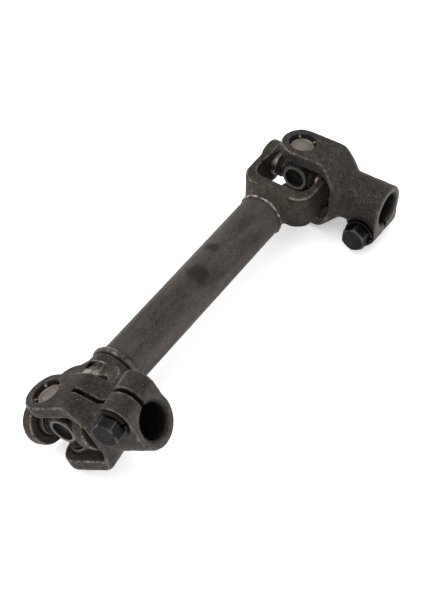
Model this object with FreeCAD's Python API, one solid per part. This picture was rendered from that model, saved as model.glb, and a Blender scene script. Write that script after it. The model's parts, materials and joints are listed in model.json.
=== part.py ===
import FreeCAD, Part
import math
import os

# A steering-column intermediate shaft: a steel tube with a Cardan (universal) joint at each
# end. Each joint is a forked tube yoke welded to the tube, a cross on needle bearings, and a
# forked clamp yoke whose serrated split hub is pinched onto a stranger's shaft by one bolt.
# All lengths are millimetres and all angles are degrees.

V = FreeCAD.Vector
X = V(1, 0, 0)
Y = V(0, 1, 0)
Z = V(0, 0, 1)
CENTRE = V(0, 0, 0)
FAR_OUT = 60.0                 # reach of cutting tools that must pass right through a piece
OVERRUN = 1.0                  # how far a cutting tool runs past the face that it opens
HAIR = 0.01                    # keeps two faces or arcs from meeting exactly edge to edge

# --- The whole shaft -------------------------------------------------------------------
CROSS_SPACING = 236.0          # between the centres of the two crosses
NEAR_TRUNNION_TURN = 30.5      # near tube yoke's ears, turned about the tube from the far one's
NEAR_CROSS_TILT = -5.0         # how far each cross is tilted in its tube yoke
FAR_CROSS_TILT = 4.5
NEAR_SWING = 5.0               # how far each clamp yoke leans from square to the tube,
FAR_SWING = 0.5                # towards the far end of the shaft
LIE_PITCH = 0.54               # turns the whole shaft, about Y and then X, so that it lies on
LIE_ROLL = 0.86                # three points: the near lower ear, far lower ear and far lobes

# --- Tube and welds --------------------------------------------------------------------
TUBE_R = 13.7
TUBE_WALL = 2.6
NEAR_TUBE_START = 43.6         # tube's end faces, each from its own cross centre
FAR_TUBE_START = 46.0
FAR_WELD_FRONT = 2.2           # how far each bead reaches onto the yoke's neck
NEAR_WELD_FRONT = 3.2
FAR_WELD_BACK = 0.9            # how far each bead reaches onto the tube
NEAR_WELD_BACK = 2.4
FAR_WELD_CROWN_R = 14.4
NEAR_WELD_CROWN_R = 16.1

# --- Tube yoke -------------------------------------------------------------------------
STRAP_OUTER = 23.2             # outside of the forged U strap, from the tube's axis
STRAP_INNER = 18.4
STRAP_HALF_WIDTH = 11.8
STRAP_BOTTOM_INNER = 26.0      # inside of the U's bottom, from the cross centre
STRAP_BOTTOM_OUTER = 34.3
STRAP_OUTER_CORNER_R = 10.4
STRAP_INNER_CORNER_R = 7.0
TUBE_EAR_R = 13.4
TUBE_EAR_OUTER = 24.4
TUBE_EAR_INNER = 17.0
EAR_FLAT_END = 4.0             # the ears are thicker than the strap up to here,
STRAP_FLAT_START = 12.0        # and taper to the strap by here
EAR_BLEND_R = 6.0
NECK_FOOT_R = 14.3             # low step where the neck leaves the strap
NECK_FOOT_START = 32.0
NECK_FOOT_END = 35.0
NECK_FOOT_EDGE_R = 1.0
NECK_ROOT_START = 36.4
NECK_ROOT_BLEND_R = 0.6
NECK_ROOT_R = 13.4
NECK_TIP_R = 13.1
NEAR_NECK_R = 15.3             # the near yoke's heavier neck overhangs its strap's edges
NEAR_NECK_START = 33.0
NEAR_SHOULDER_R = 20.4         # cone between the near strap's bottom and its neck
NEAR_SHOULDER_END = 39.2
POCKET_R = 13.5                # arched pockets under the near neck's overhang
POCKET_FLOOR = 10.5
POCKET_START = 31.0
POCKET_END = 36.0
SPIGOT_LENGTH = 10.0           # length of neck that is pushed into the tube

# --- Clamp yoke ------------------------------------------------------------------------
CLAMP_EAR_R = 13.4
CLAMP_EAR_OUTER = 24.0
CLAMP_EAR_INNER = 16.2
EAR_SIDE_END = 18.5            # where the parallel sides of the ears start to widen
ROOT_HALF_WIDTH = 15.2         # half width where the ears run into the hub
ROOT_WIDE_FROM = 27.5
SIDE_BLEND_R = 10.0
FORK_END = 37.0                # the fork's forging runs into the hub up to here
SHOULDER_START = 22.8          # the shoulder falls from the ears to the hub
SHOULDER_END = 33.0
SHOULDER_TOP_R = 6.0
SHOULDER_FOOT_R = 5.0
VALLEY_HEIGHT = 14.4
SWING_R = 26.9                 # turned outside of the fork
SWING_CORNER_R = 8.0
CROTCH = 28.5                  # bottom of the fork's gap, from the cross centre
CROTCH_CORNER_R = 8.5
HUB_R = 15.1
HUB_END = 62.0
HUB_END_CHAMFER = 0.8
VALLEY_R = 15.3                # round waist between the fork and the lobes
VALLEY_START = 34.5
LOBE_BACK = 42.4               # the lobes' extent along the hub, rounded over the top
LOBE_FRONT = 61.8
LOBE_TOP = 23.3
LOBE_HALF_WIDTH = 14.3
BOLT_X = 51.6                  # bolt axis along the hub
BOLT_Z = 13.4                  # bolt axis off the hub's axis
LOBE_FOOT_R = 3.0
SLOT_WIDTH = 2.4
SLOT_START = 20.0
SERRATIONS = 36
SERRATION_CREST_R = 9.8
SERRATION_ROOT_R = 10.7
CREST_SHARE = 0.42             # share of each tooth's pitch taken by its flat crest
ROOT_SHARE = 0.22
MOUTH_CHAMFER = 1.0

# --- Clamp bolt and spring washer ------------------------------------------------------
SPOTFACE_R = 9.6
SPOTFACE_Y = 13.8              # seat of the spring washer, from the slot's mid plane
WASHER_THICKNESS = 2.6
WASHER_R = 9.1
WASHER_HOLE_R = 5.15
WASHER_SPLIT = 1.3
WASHER_SPLIT_LEAN = 18.0
BOLT_R = 5.0
BOLT_SHANK_R = 4.95
BOLT_HOLE_R = 5.25
BOLT_WAIST_R = 3.5             # relieved middle, where the bolt passes the hub's bore
BOLT_WAIST_HALF = 5.4
BOLT_WAIST_CONE = 1.2
BOLT_TIP = -15.1
BOLT_TIP_CHAMFER = 0.9
HEAD_ACROSS_FLATS = 14.0
HEAD_HEIGHT = 7.2
HEAD_CHAMFER_DROP = 0.7
HEAD_FACE_R = 6.7

# --- Bearings and cross ----------------------------------------------------------------
CAP_R = 7.5
CAP_INNER_R = 6.5
CAP_OUTER = 21.5               # outer face of each cap, from the cross centre
CAP_MOUTH = 13.8
CAP_END_WALL = 1.2
CAP_EDGE = 0.5
CAP_GROOVE_R = 5.0
CAP_GROOVE_WIDTH = 0.6
CAP_GROOVE_DEPTH = 0.35
TRUNNION_R = 4.88
TRUNNION_END = 20.1
TRUNNION_CHAMFER = 0.6
SHOULDER_R = 6.6
SHOULDER_FACE = 10.6
BOSS_R = 8.9
BOSS_HALF = 7.2
BOSS_EDGE = 0.8
RECESS_R = 6.2
RECESS_DEPTH = 2.6
NEEDLE_COUNT = 22
NEEDLE_R = 0.79
NEEDLE_PITCH_R = 5.7
NEEDLE_START = 14.2
NEEDLE_END = 19.8
SEAL_R = 7.2
SEAL_THICKNESS = 2.9
EAR_RIM_R = 8.8                # flared rim of the hole above the cap
EAR_RIM_DEPTH = 2.3
STAKE_COUNT = 4
STAKE_INNER_R = 6.5
STAKE_OUTER_R = 9.0
STAKE_WIDTH = 2.2
STAKE_HEIGHT = 1.1


# --- Small shape helpers ---------------------------------------------------------------
def cylinder(radius, start, end, axis=X, centre=CENTRE):
    return Part.makeCylinder(radius, end - start, centre + axis * start, axis)


def cone(start_radius, end_radius, start, end, axis=X, centre=CENTRE):
    return Part.makeCone(start_radius, end_radius, end - start, centre + axis * start, axis)


def box(low, high):
    return Part.makeBox(high[0] - low[0], high[1] - low[1], high[2] - low[2], V(*low))


def rounded_wire(corners, place):
    """A closed wire through (a, b, radius) corners, with an arc at each corner that has a
    radius. place turns (a, b) into a point in space."""
    points = [place(a, b) for a, b, _ in corners]
    count = len(points)
    ends = []
    edges = []
    for i, (_, _, radius) in enumerate(corners):
        here = points[i]
        back = (points[i - 1] - here).normalize()
        ahead = (points[(i + 1) % count] - here).normalize()
        if radius == 0:
            ends.append((here, here))
            continue
        half = back.getAngle(ahead) / 2
        reach = radius / math.tan(half)
        middle = (back + ahead).normalize()
        start = here + back * reach
        end = here + ahead * reach
        top = here + middle * (radius / math.sin(half) - radius)
        edges.append(Part.Arc(start, top, end).toShape())
        ends.append((start, end))
    for i in range(count):
        start = ends[i][1]
        end = ends[(i + 1) % count][0]
        if start.distanceToPoint(end) > 1e-6:
            edges.append(Part.LineSegment(start, end).toShape())
    return Part.Wire(Part.__sortEdges__(edges))


def side_slab(corners, half_width):
    """An X-Z outline made into a slab, half_width to each side of the X-Z plane."""
    wire = rounded_wire(corners, lambda a, b: V(a, -half_width, b))
    return Part.Face(wire).extrude(Y * (2 * half_width))


def plan_slab(corners, half_height):
    """An X-Y outline made into a slab, half_height to each side of the X-Y plane."""
    wire = rounded_wire(corners, lambda a, b: V(a, b, -half_height))
    return Part.Face(wire).extrude(Z * (2 * half_height))


def turned(corners):
    """An outline of (along X, radius) corners turned about the X axis."""
    wire = rounded_wire(corners, lambda a, b: V(a, 0, b))
    return Part.Face(wire).revolve(CENTRE, X, 360)


def mirrored_outline(corners):
    """An outline that starts and ends on the X axis's two sides: corners, then their mirror."""
    return corners + [(a, -b, radius) for a, b, radius in reversed(corners)]


# --- The pieces, each in its own local frame -------------------------------------------
def ear_bores(ear_outer):
    """The two bearing holes of a fork, along Z, with a flared rim above each cap."""
    tool = cylinder(CAP_R, -FAR_OUT, FAR_OUT, Z)
    for side in (1, -1):
        rim = cone(CAP_R, EAR_RIM_R, ear_outer - EAR_RIM_DEPTH, ear_outer, Z * side)
        tool = tool.fuse(rim)
    return tool


def stakes():
    """Dabs of metal punched over the rim of each cap, round both holes of a fork."""
    dabs = []
    for side in (1, -1):
        ring = cylinder(STAKE_OUTER_R, CAP_OUTER, CAP_OUTER + STAKE_HEIGHT, Z * side)
        ring = ring.cut(cylinder(STAKE_INNER_R, 0, FAR_OUT, Z * side))
        half = STAKE_WIDTH / 2
        for i in range(STAKE_COUNT):
            bar = box((0, -half, -FAR_OUT), (FAR_OUT, half, FAR_OUT))
            bar.rotate(CENTRE, Z, 45 + 360 / STAKE_COUNT * i)
            dabs.append(ring.common(bar))
    return dabs


def spigot_outline(tube_start):
    """The neck's tip and the spigot that is pushed into the tube."""
    return [(tube_start, NECK_TIP_R, 0), (tube_start, TUBE_R - TUBE_WALL, 0),
            (tube_start + SPIGOT_LENGTH, TUBE_R - TUBE_WALL, 0),
            (tube_start + SPIGOT_LENGTH, 0, 0)]


def far_neck():
    """The slim neck, with a low step where it leaves the strap."""
    return turned([(STRAP_BOTTOM_INNER, 0, 0), (STRAP_BOTTOM_INNER, STRAP_HALF_WIDTH, 0),
                   (NECK_FOOT_START, STRAP_HALF_WIDTH, 0), (NECK_FOOT_START, NECK_FOOT_R, 0),
                   (NECK_FOOT_END, NECK_FOOT_R, NECK_FOOT_EDGE_R),
                   (NECK_ROOT_START, NECK_ROOT_R, NECK_ROOT_BLEND_R),
                   (FAR_TUBE_START - FAR_WELD_FRONT, NECK_TIP_R, 0)]
                  + spigot_outline(FAR_TUBE_START))


def near_neck():
    """The heavy neck, with a conical shoulder cut off level with the strap's edges."""
    step = NEAR_TUBE_START - NEAR_WELD_FRONT
    neck = turned([(STRAP_BOTTOM_INNER, 0, 0), (STRAP_BOTTOM_INNER, STRAP_HALF_WIDTH, 0),
                   (NEAR_NECK_START, STRAP_HALF_WIDTH, 0), (NEAR_NECK_START, NEAR_NECK_R, 0),
                   (step, NEAR_NECK_R, 0), (step, NECK_TIP_R, 0)]
                  + spigot_outline(NEAR_TUBE_START))
    shoulder = cone(NEAR_SHOULDER_R, NEAR_NECK_R, STRAP_BOTTOM_OUTER - STRAP_OUTER_CORNER_R / 2,
                    NEAR_SHOULDER_END)
    return neck.fuse(shoulder.common(box((0, -STRAP_HALF_WIDTH, -FAR_OUT),
                                         (FAR_OUT, STRAP_HALF_WIDTH, FAR_OUT))))


def neck_pockets():
    """Cutting tool of the arched pockets, over both edges of the near strap's bottom."""
    middle = box((0, -POCKET_FLOOR, -FAR_OUT), (FAR_OUT, POCKET_FLOOR, FAR_OUT))
    return cylinder(POCKET_R, POCKET_START, POCKET_END).cut(middle)


def tube_yoke(neck):
    """X runs from the cross centre to the tube. The ears' bores run along Z."""
    outer = mirrored_outline([(0, STRAP_OUTER, 0),
                              (STRAP_BOTTOM_OUTER, STRAP_OUTER, STRAP_OUTER_CORNER_R)])
    inner = mirrored_outline([(-FAR_OUT, TUBE_EAR_INNER, 0),
                              (EAR_FLAT_END, TUBE_EAR_INNER, EAR_BLEND_R),
                              (STRAP_FLAT_START, STRAP_INNER, EAR_BLEND_R),
                              (STRAP_BOTTOM_INNER, STRAP_INNER, STRAP_INNER_CORNER_R)])
    ears = mirrored_outline([(-TUBE_EAR_R, TUBE_EAR_OUTER, 0),
                             (EAR_FLAT_END, TUBE_EAR_OUTER, EAR_BLEND_R),
                             (STRAP_FLAT_START, STRAP_OUTER, EAR_BLEND_R),
                             (TUBE_EAR_R, STRAP_OUTER, 0)])
    body = side_slab(outer, STRAP_HALF_WIDTH)
    ear_discs = cylinder(TUBE_EAR_R, -FAR_OUT, FAR_OUT, Z).common(side_slab(ears, FAR_OUT))
    body = body.fuse([neck, ear_discs]).cut(side_slab(inner, FAR_OUT))
    return body.cut(ear_bores(TUBE_EAR_OUTER)).fuse(stakes()).removeSplitter()


def weld_bead(tube_start, neck_r, reach_front, reach_back, crown_r):
    """A fillet ring round the joint of neck and tube, in the tube yoke's frame."""
    front = tube_start - reach_front
    back = tube_start + reach_back
    crown = V((front + back) / 2, 0, crown_r)
    corners = [V(back, 0, TUBE_R), V(tube_start, 0, TUBE_R), V(tube_start, 0, NECK_TIP_R),
               V(front, 0, NECK_TIP_R)]
    start = V(front, 0, neck_r)
    if neck_r > NECK_TIP_R:
        corners.append(start)
    edges = [Part.Arc(start, crown, corners[0]).toShape()]
    for a, b in zip(corners, corners[1:]):
        edges.append(Part.LineSegment(a, b).toShape())
    return Part.Face(Part.Wire(edges)).revolve(CENTRE, X, 360)


def shaft_tube():
    """The tube, along X and centred between the two crosses."""
    start = NEAR_TUBE_START - CROSS_SPACING / 2
    end = CROSS_SPACING / 2 - FAR_TUBE_START
    return cylinder(TUBE_R, start, end).cut(cylinder(TUBE_R - TUBE_WALL, start, end))


def serrated_bore():
    """The star-shaped cutting tool of the hub's bore."""
    pitch = math.radians(360 / SERRATIONS)
    half_root = pitch * ROOT_SHARE / 2
    half_crest = pitch * CREST_SHARE / 2

    def point(radius, angle):
        return V(CROTCH - OVERRUN, radius * math.cos(angle), radius * math.sin(angle))

    edges = []
    for i in range(SERRATIONS):
        root = i * pitch
        crest = root + pitch / 2
        root_start = point(SERRATION_ROOT_R, root - half_root)
        root_end = point(SERRATION_ROOT_R, root + half_root)
        crest_start = point(SERRATION_CREST_R, crest - half_crest)
        crest_end = point(SERRATION_CREST_R, crest + half_crest)
        next_root = point(SERRATION_ROOT_R, root + pitch - half_root)
        edges.append(Part.Arc(root_start, point(SERRATION_ROOT_R, root), root_end).toShape())
        edges.append(Part.LineSegment(root_end, crest_start).toShape())
        edges.append(Part.Arc(crest_start, point(SERRATION_CREST_R, crest), crest_end).toShape())
        edges.append(Part.LineSegment(crest_end, next_root).toShape())
    return Part.Face(Part.Wire(edges)).extrude(X * (HUB_END - CROTCH + 2 * OVERRUN))


def clamp_yoke_outside():
    """The forging before machining: X runs from the cross centre along the hub, Z along the
    trunnion axis, with the bolt lobes on the +Z side."""
    shoulder = mirrored_outline([(-FAR_OUT, CLAMP_EAR_OUTER, 0),
                                 (SHOULDER_START, CLAMP_EAR_OUTER, SHOULDER_TOP_R),
                                 (SHOULDER_END, VALLEY_HEIGHT, SHOULDER_FOOT_R),
                                 (FORK_END, VALLEY_HEIGHT, 0)])
    plan = mirrored_outline([(0, CLAMP_EAR_R, 0), (EAR_SIDE_END, CLAMP_EAR_R, SIDE_BLEND_R),
                             (ROOT_WIDE_FROM, ROOT_HALF_WIDTH, SIDE_BLEND_R),
                             (FORK_END, ROOT_HALF_WIDTH, 0)])
    fork_plan = plan_slab(plan, FAR_OUT).fuse(cylinder(CLAMP_EAR_R, -FAR_OUT, FAR_OUT, Z))
    fork = side_slab(shoulder, FAR_OUT).common(fork_plan)
    hub = turned([(CROTCH, 0, 0), (CROTCH, HUB_R, 0), (HUB_END - HUB_END_CHAMFER, HUB_R, 0),
                  (HUB_END, HUB_R - HUB_END_CHAMFER, 0), (HUB_END, 0, 0)])
    lobe_r = (LOBE_FRONT - LOBE_BACK) / 2 - HAIR
    lobes = side_slab([(SHOULDER_END, 0, 0), (SHOULDER_END, VALLEY_HEIGHT, 0),
                       (LOBE_BACK, VALLEY_HEIGHT, 0), (LOBE_BACK, LOBE_TOP, lobe_r),
                       (LOBE_FRONT, LOBE_TOP, lobe_r), (LOBE_FRONT, 0, 0)], LOBE_HALF_WIDTH)
    envelope = turned([(-FAR_OUT, 0, 0), (-FAR_OUT, SWING_R, 0),
                       (SHOULDER_START, SWING_R, SWING_CORNER_R),
                       (VALLEY_START, VALLEY_R, SHOULDER_FOOT_R),
                       (LOBE_BACK, VALLEY_R, LOBE_FOOT_R), (LOBE_BACK, FAR_OUT, 0),
                       (HUB_END, FAR_OUT, 0), (HUB_END, 0, 0)])
    return fork.fuse([hub, lobes]).common(envelope)


def clamp_yoke(bolt_side):
    """bolt_side is +1 or -1: the side of the slot, along Y, that the bolt's head is on."""
    body = clamp_yoke_outside()
    gap = mirrored_outline([(-FAR_OUT, CLAMP_EAR_INNER, 0),
                            (CROTCH, CLAMP_EAR_INNER, CROTCH_CORNER_R)])
    half_slot = SLOT_WIDTH / 2
    bolt_foot = V(BOLT_X, 0, BOLT_Z)
    head_way = Y * bolt_side
    tools = [side_slab(gap, FAR_OUT), serrated_bore(),
             cone(SERRATION_ROOT_R - HAIR, SERRATION_ROOT_R + MOUTH_CHAMFER,
                  HUB_END - MOUTH_CHAMFER, HUB_END),
             box((SLOT_START, -half_slot, 0), (HUB_END + OVERRUN, half_slot, FAR_OUT)),
             cylinder(BOLT_HOLE_R, 0, FAR_OUT, head_way, bolt_foot),
             cylinder(BOLT_R, -FAR_OUT, 0, head_way, bolt_foot),
             cylinder(SPOTFACE_R, SPOTFACE_Y, FAR_OUT, head_way, bolt_foot),
             ear_bores(CLAMP_EAR_OUTER)]
    for tool in tools:
        body = body.cut(tool)
    return body.fuse(stakes()).removeSplitter()


def clamp_bolt():
    """Along Z from the slot's mid plane, with the head on the +Z side."""
    under_head = SPOTFACE_Y + WASHER_THICKNESS
    head_top = under_head + HEAD_HEIGHT
    corner_r = HEAD_ACROSS_FLATS / 2 / math.cos(math.radians(30))
    corners = [V(corner_r * math.cos(math.radians(60 * i)),
                 corner_r * math.sin(math.radians(60 * i)), under_head) for i in range(7)]
    head = Part.Face(Part.makePolygon(corners)).extrude(Z * HEAD_HEIGHT)
    crown = cylinder(corner_r + OVERRUN, under_head, head_top - HEAD_CHAMFER_DROP, Z)
    bevel = cone(corner_r, HEAD_FACE_R, head_top - HEAD_CHAMFER_DROP, head_top, Z)
    head = head.common(crown.fuse(bevel))
    cone_end = BOLT_WAIST_HALF + BOLT_WAIST_CONE
    shank = cylinder(BOLT_SHANK_R, cone_end, under_head, Z)
    upper_cone = cone(BOLT_WAIST_R, BOLT_SHANK_R, BOLT_WAIST_HALF, cone_end, Z)
    waist = cylinder(BOLT_WAIST_R, -BOLT_WAIST_HALF, BOLT_WAIST_HALF, Z)
    lower_cone = cone(BOLT_R, BOLT_WAIST_R, -cone_end, -BOLT_WAIST_HALF, Z)
    thread = cylinder(BOLT_R, BOLT_TIP + BOLT_TIP_CHAMFER, -cone_end, Z)
    tip = cone(BOLT_R - BOLT_TIP_CHAMFER, BOLT_R, BOLT_TIP, BOLT_TIP + BOLT_TIP_CHAMFER, Z)
    return head.fuse([shank, upper_cone, waist, lower_cone, thread, tip]).removeSplitter()


def spring_washer():
    """A flattened split ring, in the clamp bolt's frame."""
    top = SPOTFACE_Y + WASHER_THICKNESS
    ring = cylinder(WASHER_R, SPOTFACE_Y, top, Z)
    ring = ring.cut(cylinder(WASHER_HOLE_R, SPOTFACE_Y, top, Z))
    half = WASHER_SPLIT / 2
    split = box((0, -half, SPOTFACE_Y - FAR_OUT), (FAR_OUT, half, top + FAR_OUT))
    split.rotate(V(0, 0, SPOTFACE_Y), X, WASHER_SPLIT_LEAN)
    return ring.cut(split)


def cross():
    """X along the tube yoke's trunnions, Y along the clamp yoke's trunnions."""
    body = cylinder(BOSS_R, -BOSS_HALF + BOSS_EDGE, BOSS_HALF - BOSS_EDGE, Z)
    for side in (1, -1):
        body = body.fuse(cone(BOSS_R, BOSS_R - BOSS_EDGE, BOSS_HALF - BOSS_EDGE, BOSS_HALF,
                              Z * side))
    for axis in (X, Y):
        body = body.fuse(cylinder(SHOULDER_R, -SHOULDER_FACE, SHOULDER_FACE, axis))
        straight = TRUNNION_END - TRUNNION_CHAMFER
        body = body.fuse(cylinder(TRUNNION_R, -straight, straight, axis))
        for side in (1, -1):
            body = body.fuse(cone(TRUNNION_R, TRUNNION_R - TRUNNION_CHAMFER, straight,
                                  TRUNNION_END, axis * side))
    for side in (1, -1):
        body = body.cut(cylinder(RECESS_R, BOSS_HALF - RECESS_DEPTH, FAR_OUT, Z * side))
    return body.removeSplitter()


def bearing_cap():
    """Along +Z, with Z = 0 at the cross centre."""
    edge_start = CAP_OUTER - CAP_EDGE
    shell = cylinder(CAP_R, CAP_MOUTH, edge_start, Z)
    shell = shell.fuse(cone(CAP_R, CAP_R - CAP_EDGE, edge_start, CAP_OUTER, Z))
    shell = shell.cut(cylinder(CAP_INNER_R, CAP_MOUTH, CAP_OUTER - CAP_END_WALL, Z))
    groove = cylinder(CAP_GROOVE_R + CAP_GROOVE_WIDTH, CAP_OUTER - CAP_GROOVE_DEPTH, CAP_OUTER, Z)
    groove = groove.cut(cylinder(CAP_GROOVE_R, 0, CAP_OUTER, Z))
    return shell.cut(groove)


def needle_set():
    """The loose needles of one bearing, in the bearing cap's frame."""
    needles = []
    for i in range(NEEDLE_COUNT):
        angle = math.radians(360 / NEEDLE_COUNT * i)
        centre = V(NEEDLE_PITCH_R * math.cos(angle), NEEDLE_PITCH_R * math.sin(angle), 0)
        needles.append(cylinder(NEEDLE_R, NEEDLE_START, NEEDLE_END, Z, centre))
    return Part.makeCompound(needles)


def seal_ring():
    """A rubber ring against the cross's shoulder, in the bearing cap's frame."""
    end = SHOULDER_FACE + SEAL_THICKNESS
    return cylinder(SEAL_R, SHOULDER_FACE, end, Z).cut(
        cylinder(TRUNNION_R, SHOULDER_FACE, end, Z))


# --- Where everything goes -------------------------------------------------------------
def placement(origin, x_axis, z_axis):
    return FreeCAD.Placement(origin, FreeCAD.Rotation(x_axis, z_axis.cross(x_axis), z_axis, "XZY"))


def joint_axes(trunnion_turn, cross_tilt, swing):
    """Unit vectors of one joint: the tube yoke's trunnion axis, the clamp yoke's trunnion
    axis, and the hub's direction."""
    turn = math.radians(trunnion_turn)
    tilt = math.radians(cross_tilt)
    lean = math.radians(swing)
    tube_trunnion = V(0, -math.cos(turn), math.sin(turn))
    clamp_trunnion = tube_trunnion.cross(X) * math.cos(tilt) + X * math.sin(tilt)
    square = clamp_trunnion.cross(tube_trunnion)
    hub = tube_trunnion * math.cos(lean) + square * math.sin(lean)
    return tube_trunnion, clamp_trunnion, hub


def placed(shape, where):
    copy = shape.copy()
    copy.Placement = where.multiply(copy.Placement)
    return copy


def joint_pieces(end, centre, tube_way, lobe_side, bolt_side, axes):
    """Every piece of one joint. tube_way points from the cross to the tube, and lobe_side
    says which way along the clamp trunnion axis the bolt lobes stand."""
    tube_trunnion, clamp_trunnion, hub_way = axes
    lobe_way = clamp_trunnion * lobe_side
    pieces = {}
    at_tube_yoke = placement(centre, tube_way, tube_trunnion)
    if end == "near":
        yoke = tube_yoke(near_neck()).cut(neck_pockets())
        bead = weld_bead(NEAR_TUBE_START, NEAR_NECK_R, NEAR_WELD_FRONT, NEAR_WELD_BACK,
                         NEAR_WELD_CROWN_R)
    else:
        yoke = tube_yoke(far_neck())
        bead = weld_bead(FAR_TUBE_START, NECK_TIP_R, FAR_WELD_FRONT, FAR_WELD_BACK,
                         FAR_WELD_CROWN_R)
    pieces[end + "_tube_yoke"] = placed(yoke, at_tube_yoke)
    pieces[end + "_weld_bead"] = placed(bead, at_tube_yoke)
    at_cross = placement(centre, tube_trunnion, tube_trunnion.cross(clamp_trunnion))
    pieces[end + "_cross"] = placed(cross(), at_cross)
    at_clamp = placement(centre, hub_way, lobe_way)
    pieces[end + "_clamp_yoke"] = placed(clamp_yoke(bolt_side), at_clamp)
    across = lobe_way.cross(hub_way) * bolt_side
    bolt_foot = centre + hub_way * BOLT_X + lobe_way * BOLT_Z
    at_bolt = placement(bolt_foot, hub_way, across)
    pieces[end + "_clamp_bolt"] = placed(clamp_bolt(), at_bolt)
    pieces[end + "_spring_washer"] = placed(spring_washer(), at_bolt)
    trunnions = {"tube_bearing_1": (tube_trunnion, clamp_trunnion),
                 "tube_bearing_2": (tube_trunnion * -1, clamp_trunnion),
                 "clamp_bearing_1": (clamp_trunnion, tube_trunnion),
                 "clamp_bearing_2": (clamp_trunnion * -1, tube_trunnion)}
    for name, (outward, sideways) in trunnions.items():
        at_bearing = placement(centre, sideways, outward)
        pieces[end + "_" + name + "_cap"] = placed(bearing_cap(), at_bearing)
        pieces[end + "_" + name + "_needles"] = placed(needle_set(), at_bearing)
        pieces[end + "_" + name + "_seal"] = placed(seal_ring(), at_bearing)
    return pieces


def whole_shaft():
    """Every piece, before the shaft is laid down: X along the tube, with the origin midway
    between the crosses."""
    half = CROSS_SPACING / 2
    near_axes = joint_axes(NEAR_TRUNNION_TURN, NEAR_CROSS_TILT, NEAR_SWING)
    far_axes = joint_axes(0, FAR_CROSS_TILT, FAR_SWING)
    pieces = {"shaft_tube": shaft_tube()}
    pieces.update(joint_pieces("near", X * -half, X, 1, -1, near_axes))
    pieces.update(joint_pieces("far", X * half, X * -1, -1, 1, far_axes))
    return pieces


def main():
    os.makedirs("parts", exist_ok=True)
    pieces = whole_shaft()
    lie = FreeCAD.Rotation(X, LIE_ROLL).multiply(FreeCAD.Rotation(Y, LIE_PITCH))
    for name in pieces:
        pieces[name] = placed(pieces[name], FreeCAD.Placement(CENTRE, lie))
    limits = Part.makeCompound(list(pieces.values())).optimalBoundingBox(False)
    # The origin is the middle of the footprint, on the surface that the shaft lies on.
    to_origin = V(limits.Center.x, limits.Center.y, limits.ZMin) * -1
    for name, shape in pieces.items():
        shape.translate(to_origin)
        shape.exportStep("parts/" + name + ".step")
    print("moved by", to_origin)
    print("overall size", limits.XLength, limits.YLength, limits.ZLength)


main()
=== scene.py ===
import json
import math
import random
from collections import namedtuple

import bpy
import numpy as np
from mathutils import Matrix, Vector, noise


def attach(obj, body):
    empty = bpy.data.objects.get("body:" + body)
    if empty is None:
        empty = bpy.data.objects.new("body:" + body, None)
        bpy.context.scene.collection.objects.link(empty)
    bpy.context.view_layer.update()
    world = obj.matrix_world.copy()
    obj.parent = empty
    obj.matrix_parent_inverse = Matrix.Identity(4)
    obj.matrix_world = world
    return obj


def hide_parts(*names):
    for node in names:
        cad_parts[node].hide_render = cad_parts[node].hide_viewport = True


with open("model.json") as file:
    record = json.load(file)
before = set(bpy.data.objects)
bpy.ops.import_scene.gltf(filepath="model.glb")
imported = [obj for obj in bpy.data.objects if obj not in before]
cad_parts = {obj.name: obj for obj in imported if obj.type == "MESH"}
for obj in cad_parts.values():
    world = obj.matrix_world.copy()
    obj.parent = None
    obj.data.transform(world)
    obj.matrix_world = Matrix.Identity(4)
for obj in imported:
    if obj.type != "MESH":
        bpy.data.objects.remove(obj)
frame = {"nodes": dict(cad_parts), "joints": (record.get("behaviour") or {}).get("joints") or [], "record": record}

# A universal joint shaft, dressed round its CAD frame. Sizes are in millimetres, in the same
# local frames as the CAD pieces, and are turned to metres when a piece is placed.

MM = 0.001
TURN = 2 * math.pi
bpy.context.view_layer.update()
NODES = frame["nodes"]
JOINTS = {joint["name"]: joint for joint in frame["joints"]}
MOUNTS = {mount["name"]: mount for mount in frame["record"]["mounts"]}
ENDS = ("near", "far")
BEARINGS = ("tube_bearing_1", "tube_bearing_2", "clamp_bearing_1", "clamp_bearing_2")
LOBE_SIDE = {"near": 1, "far": -1}      # the way the bolt lobes face along the clamp's trunnion
BOLT_SIDE = {"near": -1, "far": 1}      # the side of the slot that the bolt's head is on

# --- Sizes repeated from the CAD --------------------------------------------------------
# Tube and welds. Places along the tube are from the cross's centre.
TUBE_R = 13.7
TUBE_WALL = 2.6
TUBE_START = {"near": 43.6, "far": 46.0}
NECK_TIP_R = 13.1
WELD_NECK_R = {"near": 15.3, "far": 13.1}
WELD_CROWN_R = {"near": 16.1, "far": 14.4}
WELD_FRONT = {"near": 3.2, "far": 2.2}      # how far the bead covers the neck
WELD_BACK = {"near": 2.4, "far": 0.9}       # how far it covers the tube

# The yokes' ears, and the pockets under the near tube yoke's neck
EAR_RIM_R = 8.8
TUBE_EAR_OUTER = 24.4
CLAMP_EAR_OUTER = 24.0
POCKET_R = 13.5
POCKET_FLOOR = 10.5
POCKET_START = 31.0
POCKET_END = 36.0
STRAP_HALF_WIDTH = 11.8

# Cross, bearing caps and seals. Places along a trunnion are from the cross's centre.
CAP_R = 7.5
CAP_INNER_R = 6.5
CAP_MOUTH = 13.8
CAP_OUTER = 21.5
CAP_END_WALL = 1.2
BOSS_HALF = 7.2
RECESS_R = 6.2
RECESS_FLOOR = 4.6
TRUNNION_R = 4.88
SHOULDER_FACE = 10.6
SEAL_R = 7.2
SEAL_END = 13.5

# Clamp yoke. Places along the hub are from the cross's centre.
CROTCH = 28.5
HUB_END = 62.0
SERRATION_ROOT_R = 10.7
MOUTH_R = 11.9
SLOT_HALF = 1.2
SLOT_START = 20.0
BOLT_X = 51.6
BOLT_Z = 13.4
SPOTFACE_R = 9.6
SPOTFACE_Y = 13.8

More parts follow.
